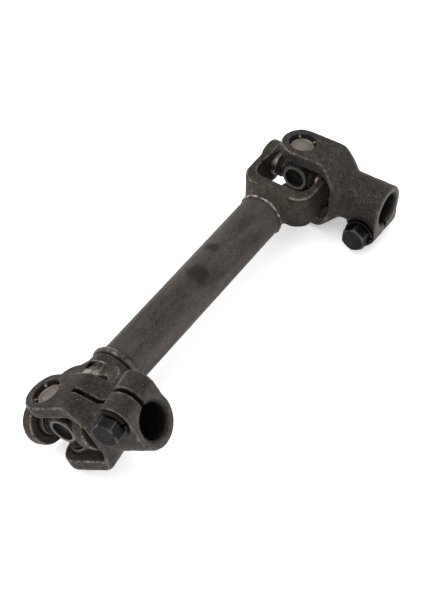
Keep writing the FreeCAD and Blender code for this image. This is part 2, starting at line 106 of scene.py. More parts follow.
# Clamp bolt and washer. Places along the bolt are from the middle of the slot.
WASHER_THICKNESS = 2.6
WASHER_R = 9.1
WASHER_HOLE_R = 5.15
BOLT_TIP = -15.1
BOLT_R = 5.0
BOLT_SHANK_R = 4.95
BOLT_WAIST_R = 3.5
BOLT_WAIST_HALF = 5.4
BOLT_WAIST_END = 6.6            # where the waist has widened to the shank again
THREAD_START = BOLT_TIP + 0.9
THREAD_END = THREAD_START + 7.5
THREAD_PITCH = 1.5
THREAD_DEPTH = 0.62
HEAD_UNDER = SPOTFACE_Y + WASHER_THICKNESS
HEAD_HEIGHT = 7.2
HEAD_TOP = HEAD_UNDER + HEAD_HEIGHT
HEAD_ACROSS_FLATS = 14.0
HEAD_FACE_R = 6.7
HEAD_CORNER_REACH = 1.4         # from the face's edge to the hexagon's corners

# --- Sizes of the visible model only ----------------------------------------------------
# Each weld's random seed, the angle of its lump about the tube, and how deep its ripples are
Weld = namedtuple("Weld", "seed lump_at ripple_depth")
WELDS = {"near": Weld(5, 5.78, 0.5), "far": Weld(9, 4.0, 1.0)}
WELD_RIPPLES = 40
LUMP_HEIGHT = 0.3
LUMP_WIDTH = 0.5                # in radians about the tube

# How each kind of forging is worked: the cube of its remesh and the height of its lumps (mm),
# rounds of smoothing, share of the faces kept, and how bright its edges are worn
Forged = namedtuple("Forged", "cube lumps rounds keep wear")
FORGED = {"tube_yoke": Forged(0.42, 0.16, 20, 0.34, 0.55),
          "clamp_yoke": Forged(0.42, 0.16, 20, 0.34, 0.5),
          "cross": Forged(0.36, 0.05, 10, 0.4, 0.35)}
CRISP_ROUNDS = 3                # rounds that blend machined faces into forged ones
SETTLE_ROUNDS = 3               # rounds that take out the steps of the remesh, everywhere
SETTLE_SHARE = 0.5              # how far a point moves to its neighbours' mean in these
SOFTEN_SHARE = 0.55             # and in the rounds on forged faces
CURVE_ROUNDS = 2
BROAD_LUMP = 5.5
FINE_LUMP = 1.9
FINE_SHARE = 0.45               # the fine lumps' height, as a share of the broad ones'
LUMP_LEVEL = 0.25               # the noise value that leaves the surface where it is

# Oil smudges on the tube: centre and half sizes, in metres in the row frame
SMUDGES = [((0.0242, 0.0191, 0.0398), (0.0035, 0.0052, 0.006)),
           ((0.0024, 0.0142, 0.0398), (0.0070, 0.0085, 0.010))]

# The camera, in metres and degrees: it looks back along its azimuth and elevation
CAMERA_LENS = 89.39
CAMERA_PLACE = (-0.4773, -0.33342, 0.64894)
CAMERA_AZIMUTH = 215.213
CAMERA_ELEVATION = 46.858
CAMERA_ROLL = -2.238


# --- Local frames -----------------------------------------------------------------------
class Place:
    """A local frame in millimetres: its origin and its axes in the row frame."""

    def __init__(self, origin, x_axis, z_axis):
        x = np.array(Vector(x_axis).normalized())
        z = np.array(Vector(z_axis).normalized())
        self.origin = np.array(origin, float)
        self.axes = np.stack([x, np.cross(z, x), z], axis=1)

    def to_row(self, points):
        return np.asarray(points, float) @ self.axes.T * MM + self.origin

    def to_local(self, points):
        return (np.asarray(points, float) - self.origin) @ self.axes / MM


def joint_places(end):
    """The local frames of one joint's pieces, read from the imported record."""
    centre = Vector(JOINTS[end + "_cross_tilt"]["pos_m"])
    other = Vector(JOINTS[("far" if end == "near" else "near") + "_cross_tilt"]["pos_m"])
    trunnion = Vector(JOINTS[end + "_cross_tilt"]["axis"])
    clamp_trunnion = Vector(JOINTS[end + "_clamp_fold"]["axis"])
    hub = Vector(MOUNTS[end + "_shaft_clamp"]["axis"])
    lobes = clamp_trunnion * LOBE_SIDE[end]
    clamp = Place(centre, hub, lobes)
    across = lobes.cross(hub) * BOLT_SIDE[end]
    bolt_foot = clamp.to_row((BOLT_X, 0, BOLT_Z))
    return {"tube_yoke": Place(centre, other - centre, trunnion),
            "clamp_yoke": clamp,
            "cross": Place(centre, trunnion, trunnion.cross(clamp_trunnion)),
            "bolt": Place(bolt_foot, hub, across),
            "tube_bearing_1": Place(centre, clamp_trunnion, trunnion),
            "tube_bearing_2": Place(centre, clamp_trunnion, -trunnion),
            "clamp_bearing_1": Place(centre, trunnion, clamp_trunnion),
            "clamp_bearing_2": Place(centre, trunnion, -clamp_trunnion)}


PLACES = {end: joint_places(end) for end in ENDS}


# --- Mesh helpers -----------------------------------------------------------------------
def rise(low, high, value):
    """0 below low and 1 above high, with a smooth step between them."""
    t = np.clip((np.asarray(value, float) - low) / (high - low), 0, 1)
    return t * t * (3 - 2 * t)


def fall(low, high, value):
    """1 below low and 0 above high, with a smooth step between them."""
    return 1 - rise(low, high, value)


def smooth_faces(mesh):
    mesh.polygons.foreach_set("use_smooth", [True] * len(mesh.polygons))


def declare(piece, material, body, replaced):
    """What the piece is made of, which body it rides on, and which CAD node it stands for."""
    piece.data.materials.clear()
    piece.data.materials.append(material)
    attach(piece, body)
    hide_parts(replaced)


def mesh_object(name, points, faces, material, body, replaced, crease=35):
    """A new piece from row-frame points and faces. Edges sharper than crease degrees show."""
    mesh = bpy.data.meshes.new(name)
    mesh.from_pydata([tuple(p) for p in points], [], faces)
    mesh.update()
    smooth_faces(mesh)
    mesh.set_sharp_from_angle(angle=math.radians(crease))
    piece = bpy.data.objects.new(name, mesh)
    bpy.context.scene.collection.objects.link(piece)
    declare(piece, material, body, replaced)
    return piece


def add_values(piece, name, values):
    """A number for every point of the piece, which its material reads by name."""
    layer = piece.data.attributes.new(name, "FLOAT", "POINT")
    layer.data.foreach_set("value", np.asarray(values, np.float32))


ARC_STEPS = 4
ARC_REACH = 0.49        # most of a side that one arc may use, so that two arcs never meet


def rounded_profile(corners):
    """Points of a (radius, height, rounding) outline, with an arc at each rounded corner."""
    points = []
    last = len(corners) - 1
    for i, (r, z, rounding) in enumerate(corners):
        here = np.array([r, z], float)
        if rounding == 0 or i in (0, last):
            points.append(here)
            continue
        back = np.array(corners[i - 1][:2], float) - here
        ahead = np.array(corners[i + 1][:2], float) - here
        back_length, ahead_length = np.linalg.norm(back), np.linalg.norm(ahead)
        back, ahead = back / back_length, ahead / ahead_length
        half = math.acos(np.clip(back @ ahead, -1, 1)) / 2
        reach = min(rounding / math.tan(half), back_length * ARC_REACH, ahead_length * ARC_REACH)
        for k in range(ARC_STEPS + 1):
            t = k / ARC_STEPS
            points.append(here + back * reach * (1 - t) ** 2 + ahead * reach * t ** 2)
    return points


ON_AXIS = 1e-6


def lathe(profile, segments, closed=False, shift=None):
    """Points and faces of a (radius, height) profile turned about Z. shift(angle, r, z) may
    move each point. Profile points on the axis become one point."""
    points = []
    rings = []
    for r, z in profile:
        if r < ON_AXIS:
            rings.append([len(points)])
            points.append((0, 0, z))
            continue
        ring = []
        for k in range(segments):
            angle = TURN * k / segments
            radius, height = shift(angle, r, z) if shift else (r, z)
            ring.append(len(points))
            points.append((radius * math.cos(angle), radius * math.sin(angle), height))
        rings.append(ring)
    faces = []
    pairs = list(zip(rings, rings[1:]))
    if closed:
        pairs.append((rings[-1], rings[0]))
    for low, high in pairs:
        for k in range(segments):
            n = (k + 1) % segments
            if len(low) == 1 and len(high) > 1:
                faces.append((low[0], high[n], high[k]))
            elif len(high) == 1 and len(low) > 1:
                faces.append((low[k], low[n], high[0]))
            elif len(low) > 1:
                faces.append((low[k], low[n], high[n], high[k]))
    return points, faces


def laid_along_x(points):
    """Points turned about Z, laid along X."""
    return np.array(points)[:, [2, 0, 1]]


# --- Materials --------------------------------------------------------------------------
MIX_FACTOR, MIX_FIRST, MIX_SECOND = 0, 6, 7     # a colour mix node's input sockets
MIX_RESULT = 2                                  # and its output socket
# Dark colours that the meshes' darkening values mix in: painted shade in hollows, holes and creases, together with
# the welds' patches of soot and the tube's oil smudges.
GRIME_AND_SHADE = (0.006, 0.0055, 0.005)
SOOT_AND_SHADE = (0.012, 0.011, 0.010)
OIL_AND_SHADE = (0.017, 0.0145, 0.013)
SPECK_DARK = (0.012, 0.011, 0.010)
SPECK_BRIGHT = (0.115, 0.101, 0.092)


class Look:
    """A node material under construction."""

    def __init__(self, name):
        self.material = bpy.data.materials.new(name)
        self.material.use_nodes = True
        self.tree = self.material.node_tree
        self.shader = self.tree.nodes["Principled BSDF"]
        coordinates = self.tree.nodes.new("ShaderNodeTexCoord")
        self.place = coordinates.outputs["Object"]

    def feed(self, socket, value):
        """A socket's value: another node's output, a colour or a number."""
        if isinstance(value, bpy.types.NodeSocket):
            self.tree.links.new(value, socket)
        elif isinstance(value, (tuple, list)) and len(value) == 3 and socket.type == "RGBA":
            socket.default_value = (*value, 1)
        else:
            socket.default_value = value

    def noise(self, scale, detail=3.0, roughness=0.55, stretch=None, seed=0.0):
        """Noise with scale cells to a metre. seed moves it, so that two noises differ."""
        source = self.place
        if stretch or seed:
            mapping = self.tree.nodes.new("ShaderNodeMapping")
            mapping.inputs["Scale"].default_value = stretch or (1, 1, 1)
            mapping.inputs["Location"].default_value = (seed, seed * 0.7, seed * 1.3)
            self.feed(mapping.inputs["Vector"], source)
            source = mapping.outputs["Vector"]
        texture = self.tree.nodes.new("ShaderNodeTexNoise")
        self.feed(texture.inputs["Vector"], source)
        texture.inputs["Scale"].default_value = scale
        texture.inputs["Detail"].default_value = detail
        texture.inputs["Roughness"].default_value = roughness
        return texture.outputs["Fac"]

    def math(self, operation, a, b):
        step = self.tree.nodes.new("ShaderNodeMath")
        step.operation = operation
        self.feed(step.inputs[0], a)
        self.feed(step.inputs[1], b)
        return step.outputs[0]

    def remap(self, value, low, high, to_low=0.0, to_high=1.0):
        """to_low where value is below low, to_high above high, and a smooth step between."""
        step = self.tree.nodes.new("ShaderNodeMapRange")
        step.interpolation_type = "SMOOTHSTEP"
        self.feed(step.inputs["Value"], value)
        step.inputs["From Min"].default_value = low
        step.inputs["From Max"].default_value = high
        step.inputs["To Min"].default_value = to_low
        step.inputs["To Max"].default_value = to_high
        return step.outputs["Result"]

    def mix(self, factor, first, second):
        step = self.tree.nodes.new("ShaderNodeMix")
        step.data_type = "RGBA"
        self.feed(step.inputs[MIX_FACTOR], factor)
        self.feed(step.inputs[MIX_FIRST], first)
        self.feed(step.inputs[MIX_SECOND], second)
        return step.outputs[MIX_RESULT]

    def value(self, name):
        """A value that add_values put on the piece's points."""
        layer = self.tree.nodes.new("ShaderNodeAttribute")
        layer.attribute_name = name
        return layer.outputs["Fac"]

    def bump(self, *heights):
        """Stacked bumps: (height socket, distance in metres, strength)."""
        normal = None
        for height, distance, strength in heights:
            step = self.tree.nodes.new("ShaderNodeBump")
            step.inputs["Distance"].default_value = distance
            step.inputs["Strength"].default_value = strength
            self.feed(step.inputs["Height"], height)
            if normal:
                self.feed(step.inputs["Normal"], normal)
            normal = step.outputs["Normal"]
        self.feed(self.shader.inputs["Normal"], normal)

    def dull(self, specular, edge_tint):
        """Weaker reflections, and dimmer ones still at glancing angles."""
        self.shader.inputs["Specular IOR Level"].default_value = specular
        self.shader.inputs["Specular Tint"].default_value = (*edge_tint, 1)

    def finish(self, colour, metallic, roughness):
        self.feed(self.shader.inputs["Base Color"], colour)
        self.feed(self.shader.inputs["Metallic"], metallic)
        self.feed(self.shader.inputs["Roughness"], roughness)
        return self.material


def scaled(colour, share):
    return tuple(channel * share for channel in colour)


def phosphate(name, dark, light, tint, worn, seed):
    """Forged steel under a manganese phosphate coat: mottled, flecked, and worn bright on its
    edges, where the mesh's wear and bare values say. Its darkening value paints shade into
    hollows, bearing holes, bores, slots and recesses."""
    look = Look(name)
    cloud = look.noise(38, 2.0, 0.5, seed=seed)
    mottle = look.noise(330, 4.0, 0.62, seed=seed + 1)
    grain = look.noise(2300, 2.0, 0.6, seed=seed + 2)
    blotch = look.noise(120, 3.0, 0.6, seed=seed + 3)
    fleck = look.noise(1050, 1.0, 0.5, seed=seed + 4)
    scuff = look.noise(420, 3.0, 0.65, seed=seed + 5)
    speck = look.noise(1500, 2.0, 0.6, seed=seed + 6)
    colour = look.mix(look.remap(cloud, 0.35, 0.68), dark, light)
    colour = look.mix(look.remap(blotch, 0.52, 0.74, 0, 0.75), colour, tint)
    colour = look.mix(look.remap(mottle, 0.34, 0.66, 0, 0.62), colour, scaled(dark, 0.42))
    colour = look.mix(look.remap(speck, 0.36, 0.52, 0.35, 0), colour, scaled(dark, 0.4))
    colour = look.mix(look.remap(speck, 0.50, 0.70, 0, 0.5), colour, scaled(light, 2.0))
    wear = look.math("MULTIPLY", look.value("wear"), look.remap(scuff, 0.36, 0.62))
    bright = look.math("MAXIMUM", look.remap(fleck, 0.72, 0.80, 0, 0.4), wear)
    bright = look.math("MAXIMUM", bright, look.value("bare"))
    colour = look.mix(bright, colour, worn)
    # Painted shade: darker in hollows, bearing holes, bores, slots and recesses, as the mesh's darkening value
    # says
    colour = look.mix(look.value("grime_and_shade"), colour, GRIME_AND_SHADE)
    look.dull(0.22, (0.42, 0.39, 0.36))
    look.bump((mottle, 0.00022, 0.75), (grain, 0.00005, 0.55))
    metallic = look.remap(bright, 0, 1, 0.4, 0.9)
    return look.finish(colour, metallic, look.remap(mottle, 0.25, 0.75, 0.42, 0.62))


def tube_steel():
    """Drawn tube under the same coat: smoother, finely speckled, with two oily smudges and painted shade beside
    the welds.
    """
    look = Look("phosphate_tube")
    along = look.noise(90, 3.0, 0.6, stretch=(0.25, 1, 1), seed=3.1)
    speck = look.noise(1400, 2.0, 0.6, stretch=(0.7, 1, 1), seed=9.9)
    mottle = look.noise(240, 4.0, 0.65, seed=5.2)
    grain = look.noise(2600, 2.0, 0.65, seed=7.7)
    colour = look.mix(look.remap(along, 0.3, 0.7), (0.026, 0.022, 0.020), (0.062, 0.053, 0.048))
    colour = look.mix(look.remap(mottle, 0.45, 0.75, 0, 0.5), colour, (0.046, 0.037, 0.031))
    colour = look.mix(look.remap(speck, 0.36, 0.52, 0.35, 0), colour, SPECK_DARK)
    colour = look.mix(look.remap(speck, 0.50, 0.72, 0, 0.32), colour, SPECK_BRIGHT)
    colour = look.mix(look.value("grime_and_shade"), colour, OIL_AND_SHADE)
    look.dull(0.25, (0.45, 0.42, 0.39))
    look.bump((mottle, 0.00008, 0.5), (grain, 0.00003, 0.55))
    return look.finish(colour, 0.4, look.remap(mottle, 0.3, 0.7, 0.42, 0.54))


def bright_steel(name, colour, tarnish, roughness, seed, spread=0.35):
    """Bare steel with fine grain and some tarnish. spread is how much of the tarnish shows."""
    look = Look(name)
    cloud = look.noise(150, 3.0, 0.6, seed=seed)
    grain = look.noise(2400, 2.0, 0.6, seed=seed + 1)
    shown = look.mix(look.remap(cloud, 0.4, 0.75, 0, spread), colour, tarnish)
    shown = look.mix(look.remap(grain, 0.6, 0.85, 0, 0.3), shown, tarnish)
    look.bump((grain, 0.00002, 0.4))
    return look.finish(shown, 1.0, look.remap(cloud, 0.3, 0.7, roughness * 0.85, roughness * 1.2))


def weld_metal(name, bright, sooty):
    """Rippled weld bead: bright metal mottled with soot, with painted shade along its edges, where it meets the
    neck and the tube.
    """
    look = Look(name)
    cloud = look.noise(260, 4.0, 0.7, seed=2.3)
    grain = look.noise(2200, 2.0, 0.6, seed=4.9)
    colour = look.mix(look.remap(cloud, 0.40, 0.62), bright, sooty)
    colour = look.mix(look.value("grime_and_shade"), colour, SOOT_AND_SHADE)
    look.bump((cloud, 0.00012, 0.6), (grain, 0.00003, 0.4))
    return look.finish(colour, 0.85, look.remap(cloud, 0.3, 0.7, 0.30, 0.55))


def bolt_black():
    """Black phosphate with a light oil: nearly even, faintly blue, worn on the head's edges."""
    look = Look("black_bolt")
    cloud = look.noise(180, 3.0, 0.6, seed=1.7)
    grain = look.noise(1900, 3.0, 0.6, seed=8.3)
    colour = look.mix(look.remap(cloud, 0.35, 0.7), (0.004, 0.004, 0.005), (0.009, 0.0085, 0.011))
    colour = look.mix(look.remap(grain, 0.55, 0.8, 0, 0.4), colour, (0.030, 0.028, 0.033))
    wear = look.math("MULTIPLY", look.value("wear"), look.remap(cloud, 0.3, 0.6))
    colour = look.mix(wear, colour, (0.13, 0.12, 0.125))
    look.dull(0.2, (0.35, 0.35, 0.36))
    look.bump((grain, 0.00004, 0.5))
    return look.finish(colour, 0.6, look.remap(cloud, 0.3, 0.7, 0.36, 0.5))


def rubber():
    look = Look("seal_rubber")
    grain = look.noise(1600, 3.0, 0.6)
    colour = look.mix(look.remap(grain, 0.4, 0.8), (0.008, 0.0075, 0.007), (0.018, 0.016, 0.015))
    look.dull(0.2, (0.6, 0.55, 0.5))
    look.bump((grain, 0.00003, 0.4))
    return look.finish(colour, 0.0, look.remap(grain, 0.3, 0.7, 0.6, 0.8))


LOOKS = {
    "tube_yoke": phosphate("phosphate_tube_yoke", dark=(0.026, 0.021, 0.0175),
                           light=(0.050, 0.041, 0.034), tint=(0.052, 0.036, 0.025),
                           worn=(0.30, 0.27, 0.24), seed=11.0),
    "clamp_yoke": phosphate("phosphate_clamp_yoke", dark=(0.021, 0.018, 0.0165),
                            light=(0.043, 0.038, 0.034), tint=(0.036, 0.028, 0.023),
                            worn=(0.30, 0.275, 0.25), seed=23.0),
    "cross": phosphate("oiled_cross", dark=(0.012, 0.011, 0.011), light=(0.024, 0.022, 0.021),
                       tint=(0.022, 0.019, 0.016), worn=(0.26, 0.24, 0.22), seed=37.0),
    "tube": tube_steel(),
    "near_weld": weld_metal("sooty_weld_bead", (0.085, 0.074, 0.064), (0.034, 0.028, 0.023)),
    "far_weld": weld_metal("weld_bead", (0.34, 0.31, 0.28), (0.034, 0.029, 0.025)),
    "bolt": bolt_black(),
    "seal": rubber(),
    "bearing_cap": bright_steel("cap_steel", (0.155, 0.130, 0.110), (0.085, 0.068, 0.055),
                                roughness=0.42, seed=6.1),
    "needles": bright_steel("needle_steel", (0.60, 0.58, 0.56), (0.30, 0.27, 0.24),
                            roughness=0.2, seed=9.4),
    # The washer: dark steel, with the shade under the bolt's head painted into its whole colour
    "washer": bright_steel("washer_steel_with_painted_shade", (0.015, 0.0125, 0.011), (0.007, 0.006, 0.0055),
                           roughness=0.5, seed=4.4, spread=0.8),
}


# --- Forgings: the CAD solid, remeshed and worn round, with its machined faces kept crisp ---
def read_points(mesh):
    points = np.empty(len(mesh.vertices) * 3, np.float32)
    mesh.vertices.foreach_get("co", points)
    return points.reshape(-1, 3).astype(float)


def read_normals(mesh):
    normals = np.empty(len(mesh.vertices) * 3, np.float32)
    mesh.vertex_normals.foreach_get("vector", normals)
    return normals.reshape(-1, 3).astype(float)


def write_points(mesh, points):
    mesh.vertices.foreach_set("co", points.astype(np.float32).ravel())
    mesh.update()


def apply_modifiers(piece):
    """The piece's modifiers, made into its mesh."""
    depsgraph = bpy.context.evaluated_depsgraph_get()
    made = bpy.data.meshes.new_from_object(piece.evaluated_get(depsgraph))
    piece.modifiers.clear()
    old = piece.data
    piece.data = made
    bpy.data.meshes.remove(old)


def remeshed_copy(node, cube):
    """A copy of a CAD node, with a mesh of even faces about one cube across."""
    piece = bpy.data.objects.new(node + "_forging", NODES[node].data.copy())
    bpy.context.scene.collection.objects.link(piece)
    remesh = piece.modifiers.new("remesh", "REMESH")
    remesh.mode = "VOXEL"
    remesh.voxel_size = cube * MM * 1
    apply_modifiers(piece)
    return piece


class Links:
    """Which points of a mesh are joined by an edge."""

    def __init__(self, mesh):
        ends = np.empty(len(mesh.edges) * 2, np.int32)
        mesh.edges.foreach_get("vertices", ends)
        self.pairs = ends.reshape(-1, 2)
        self.counts = np.bincount(ends, minlength=len(mesh.vertices)).astype(float)
        self.counts[self.counts == 0] = 1

    def mean(self, values):
        """Each point's mean over the points that it is joined to."""
        one, other = self.pairs[:, 0], self.pairs[:, 1]
        total = np.empty_like(values)
        for column in range(values.shape[1]):
            total[:, column] = (np.bincount(one, values[other, column], self.counts.size)
                                + np.bincount(other, values[one, column], self.counts.size))
        return total / self.counts[:, None]


def smoothed(points, links, rounds, share, soft=1):
    """The points, each moved a share of the way to its neighbours' mean, round after round."""
    for _ in range(rounds):
        points = points + (links.mean(points) - points) * share * soft
    return points


def edge_curve(points, normals, links):
    """How sharply the surface turns, about one over its radius in millimetres: above 0 on its
    edges and below 0 in its hollows."""
    sag = links.mean(points) - points
    pairs = links.pairs
    spacing = np.linalg.norm(points[pairs[:, 0]] - points[pairs[:, 1]], axis=1).mean()
    curve = -4 * (sag * normals).sum(1) / spacing ** 2
    for _ in range(CURVE_ROUNDS):
        curve = links.mean(curve[:, None])[:, 0]
    return curve


def unevenness(points):
    """Broad and fine lumps of a forged surface, as shares of their height."""
    lumps = [noise.noise((p / BROAD_LUMP).tolist())
             + FINE_SHARE * noise.noise((p / FINE_LUMP).tolist()) for p in points]
    return np.array(lumps) - LUMP_LEVEL


def forging(end, kind, body, crisp, marks):
    """A forged copy of a CAD node, rounded over and made slightly uneven. crisp(points) is 1 on
    machined faces, which keep their edges, and 0 on forged ones. marks(points) gives the painted
    shade in holes, slots and recesses, and the bare metal. Painted shade also goes in the hollows."""
    node = end + "_" + kind
    place = PLACES[end][kind]
    work = FORGED[kind]
    piece = remeshed_copy(node, work.cube)
    mesh = piece.data
    links = Links(mesh)
    points = place.to_local(read_points(mesh))
    soft = 1 - crisp(points)[:, None]
    for _ in range(CRISP_ROUNDS):
        soft = links.mean(soft)
    rounds = work.rounds
    points = smoothed(points, links, SETTLE_ROUNDS, SETTLE_SHARE)
    points = smoothed(points, links, rounds, SOFTEN_SHARE, soft)
    write_points(mesh, place.to_row(points))
    normals = read_normals(mesh) @ place.axes
    curve = edge_curve(points, normals, links)
    soft = soft[:, 0]
    lift = unevenness(points) * work.lumps * soft
    points = points + normals * lift[:, None]
    write_points(mesh, place.to_row(points))
    grime_and_shade, bare = marks(points)
    add_values(piece, "wear", rise(0.30, 0.66, curve) * work.wear * (0.2 + 0.8 * soft))
    # Painted shade in the hollows, where the surface curves inwards, on top of the marks' painted shade
    add_values(piece, "grime_and_shade", np.maximum(grime_and_shade, rise(0.30, 0.75, -curve) * 0.55))
    add_values(piece, "bare", bare)
    thin = piece.modifiers.new("thin", "DECIMATE")
    thin.ratio = work.keep
    apply_modifiers(piece)
    smooth_faces(piece.data)
    piece.data.name = piece.name
    declare(piece, LOOKS[kind], body, node)


EAR_INSIDE = 12.0       # below every ear along its trunnion
STAKES = 4
STAKE_REACH = 8.0       # how far from the trunnion the staked metal is bright


def around_trunnion(points):
    return np.hypot(points[:, 0], points[:, 1])


def around_tube(points):
    return np.hypot(points[:, 1], points[:, 2])


def around_bolt(points):
    return np.hypot(points[:, 0] - BOLT_X, points[:, 2] - BOLT_Z)


def ear_holes(points):
    """1 on the machined rims of the bearing holes."""
    rim = fall(EAR_RIM_R + 0.3, EAR_RIM_R + 0.9, around_trunnion(points))
    return rim * (np.abs(points[:, 2]) > EAR_INSIDE)


def ear_marks(points, ear_outer):
    """Painted shade down in the bearing holes, lighter towards their mouths, and bright dabs of staked metal over
    the caps.
    """
    around = around_trunnion(points)
    height = np.abs(points[:, 2])
    in_hole = fall(EAR_RIM_R - 0.5, EAR_RIM_R + 0.1, around)
    in_hole = in_hole * rise(EAR_INSIDE, EAR_INSIDE + 2, height)
    grime_and_shade = in_hole * (1 - rise(ear_outer - 0.9, ear_outer + 0.1, height) * 0.55)
    angle = np.arctan2(points[:, 1], points[:, 0])
    dab = np.abs(np.sin(STAKES / 2 * (angle - TURN / 8) + TURN / 4))
    staked = (rise(0.965, 0.995, dab) * rise(CAP_OUTER - 0.1, CAP_OUTER + 0.2, height)
              * fall(STAKE_REACH, STAKE_REACH + 0.5, around))
    return grime_and_shade * (1 - staked), staked * 0.5


def tube_yoke_crisp(end):
    def crisp(points):
        neck = rise(TUBE_START[end] - 1.5, TUBE_START[end] - 0.5, points[:, 0])
        return np.maximum(ear_holes(points), neck)
    return crisp


def pocket_floors(points):
    """Streaky bright metal on the strap's trimmed edges, at the mouths of the neck's pockets."""
    level = np.abs(points[:, 1])
    streak = np.array([noise.noise((z * 0.45, 0.4, 7.3)) for z in points[:, 2]])
    along = rise(POCKET_START - 6, POCKET_START - 4, points[:, 0]) * (points[:, 0] < POCKET_END)
    edge = (rise(POCKET_FLOOR - 0.6, POCKET_FLOOR - 0.1, level)
            * fall(STRAP_HALF_WIDTH + 0.1, STRAP_HALF_WIDTH + 0.5, level))
    return along * edge * fall(5.2, 7.0, np.abs(points[:, 2])) * rise(-0.25, 0.05, streak)


def pocket_roofs(points):
    """1 on the underside of the neck, over its pockets, where the roof's shadow is painted."""
    around = around_tube(points)
    roof = (rise(POCKET_R - 1.1, POCKET_R - 0.5, around)
            * fall(POCKET_R + 0.7, POCKET_R + 1.1, around))
    inside = (points[:, 0] > POCKET_START - 0.5) * (points[:, 0] < POCKET_END + 0.5)
    return roof * inside * (np.abs(points[:, 1]) > POCKET_FLOOR - 1.5)


def tube_yoke_marks(end):
    def marks(points):
        grime_and_shade, bare = ear_marks(points, TUBE_EAR_OUTER)
        if end == "near":
            bare = np.maximum(bare, pocket_floors(points))
            # Painted shadow under the neck's roof, over its pockets
            grime_and_shade = np.maximum(grime_and_shade, pocket_roofs(points) * 0.9)
        return grime_and_shade, bare
    return marks


def clamp_yoke_crisp(end):
    def crisp(points):
        x, y, z = points.T
        bore = fall(MOUTH_R + 0.2, MOUTH_R + 0.8, around_tube(points)) * (x > CROTCH - 6)
        face = rise(HUB_END - 1.1, HUB_END - 0.5, x) * 0.7
        seat = fall(SPOTFACE_R + 0.2, SPOTFACE_R + 0.7, around_bolt(points))
        seat = seat * (np.abs(y) > SPOTFACE_Y - 1)
        slot = fall(SLOT_HALF + 0.25, SLOT_HALF + 0.6, np.abs(y))
        slot = slot * (z > 0) * (x > SLOT_START - 1) * 0.85
        return np.maximum.reduce([ear_holes(points), bore, face, seat, slot])
    return crisp


def clamp_yoke_marks(end):
    face_wear = {"near": 0.06, "far": 0.22}[end]

    def marks(points):
        x, y, z = points.T
        grime_and_shade, bare = ear_marks(points, CLAMP_EAR_OUTER)
        around = around_tube(points)
        bore = fall(SERRATION_ROOT_R + 0.1, SERRATION_ROOT_R + 0.5, around) * (x > CROTCH - 4)
        bore = bore * (1 - rise(HUB_END - 6, HUB_END - 0.6, x) * 0.5)
        slot = fall(SLOT_HALF - 0.1, SLOT_HALF + 0.35, np.abs(y))
        slot = slot * (z > 2) * (x > SLOT_START - 1)
        seat = fall(SPOTFACE_R - 0.4, SPOTFACE_R + 0.3, around_bolt(points))
        seat = seat * (y * BOLT_SIDE[end] > SPOTFACE_Y - 1)
        face = rise(HUB_END - 0.5, HUB_END - 0.15, x) * rise(MOUTH_R - 1.0, MOUTH_R - 0.2, around)
        # Painted shade down the serrated bore, lighter towards the hub's end, in the slot and round the bolt's
        # spotface
        grime_and_shade = np.maximum.reduce([grime_and_shade, bore, slot * 0.9, seat * 0.75])
        return grime_and_shade, np.maximum(bare, face * face_wear)
    return marks


def along_trunnions(points):
    """How far out each point of the cross is, along its nearer trunnions."""
    return np.max(np.abs(points[:, :2]), axis=1)


def cross_crisp(points):
    face = rise(SHOULDER_FACE - 0.8, SHOULDER_FACE - 0.2, along_trunnions(points))
    recess = np.hypot(points[:, 0], points[:, 1]) < RECESS_R + 0.7
    recess = recess * (np.abs(points[:, 2]) > RECESS_FLOOR - 0.6)
    return np.maximum(face, recess * 0.6)


def cross_marks(points):
    """Painted shade in the boss's recess, and bright metal on its ring and on the trunnions."""
    height = np.abs(points[:, 2])
    ring = rise(BOSS_HALF - 0.35, BOSS_HALF - 0.05, height)
    recess = fall(RECESS_R - 0.6, RECESS_R + 0.2, np.hypot(points[:, 0], points[:, 1]))
    recess = recess * (height > RECESS_FLOOR - 1.6)
    journal = rise(SHOULDER_FACE, SHOULDER_FACE + 0.4, along_trunnions(points))
    return recess * 0.85, np.maximum(ring * 0.5, journal * 0.9)


# --- Turned and bent pieces ------------------------------------------------------------
TUBE_EDGE = 0.3         # the chamfers at the tube's ends
TUBE_RINGS = 90
TUBE_SEGMENTS = 144
SMUDGE_RAGGED = 260     # cells to a metre in a smudge's ragged edge


def smudges(row):
    """How oily each row-frame point of the tube is."""
    oily = np.zeros(len(row))
    ragged = np.array([noise.noise((p * SMUDGE_RAGGED).tolist()) for p in row]) * 0.35
    for centre, size in SMUDGES:
        spread = np.linalg.norm((row - np.array(centre)) / np.array(size), axis=1)
        oily = np.maximum(oily, fall(0.55, 1.25, spread + ragged))
    return oily


def tube_piece():
    """The drawn tube, with smudges of oil on its upper side and painted shade in a band beside each weld."""
    near = PLACES["near"]["tube_yoke"]
    length = np.linalg.norm(PLACES["far"]["tube_yoke"].origin - near.origin) / MM
    start = TUBE_START["near"]
    end = length - TUBE_START["far"]
    inner = TUBE_R - TUBE_WALL
    skin = end - start - 2 * TUBE_EDGE
    outside = [(TUBE_R, start + TUBE_EDGE + skin * k / TUBE_RINGS) for k in range(TUBE_RINGS + 1)]
    profile = ([(inner, start), (TUBE_R - TUBE_EDGE, start)] + outside
               + [(TUBE_R - TUBE_EDGE, end), (inner, end)])
    points, faces = lathe(profile, TUBE_SEGMENTS, closed=True)
    local = laid_along_x(points)
    row = near.to_row(local)
    piece = mesh_object("shaft_tube_skin", row, faces, LOOKS["tube"], "shaft",
                        "shaft_tube", crease=50)
    x = local[:, 0]
    from_weld = np.minimum(x - start - WELD_BACK["near"], end - x - WELD_BACK["far"])
    # Oil smudges, and painted shade in a band along the tube beside each weld
    add_values(piece, "grime_and_shade", np.maximum(smudges(row), fall(0.1, 1.3, from_weld) * 0.8))


WELD_STEPS = 12
WELD_SEGMENTS = 696
WELD_SUNK = 0.6         # how far the bead's inner side is sunk into the neck and tube
WELD_WAVER = 0.35       # how far a ripple strays along the tube


def arch(t):
    """0 at both ends of 0 to 1, and 1 in the middle."""
    return 4 * t * (1 - t)


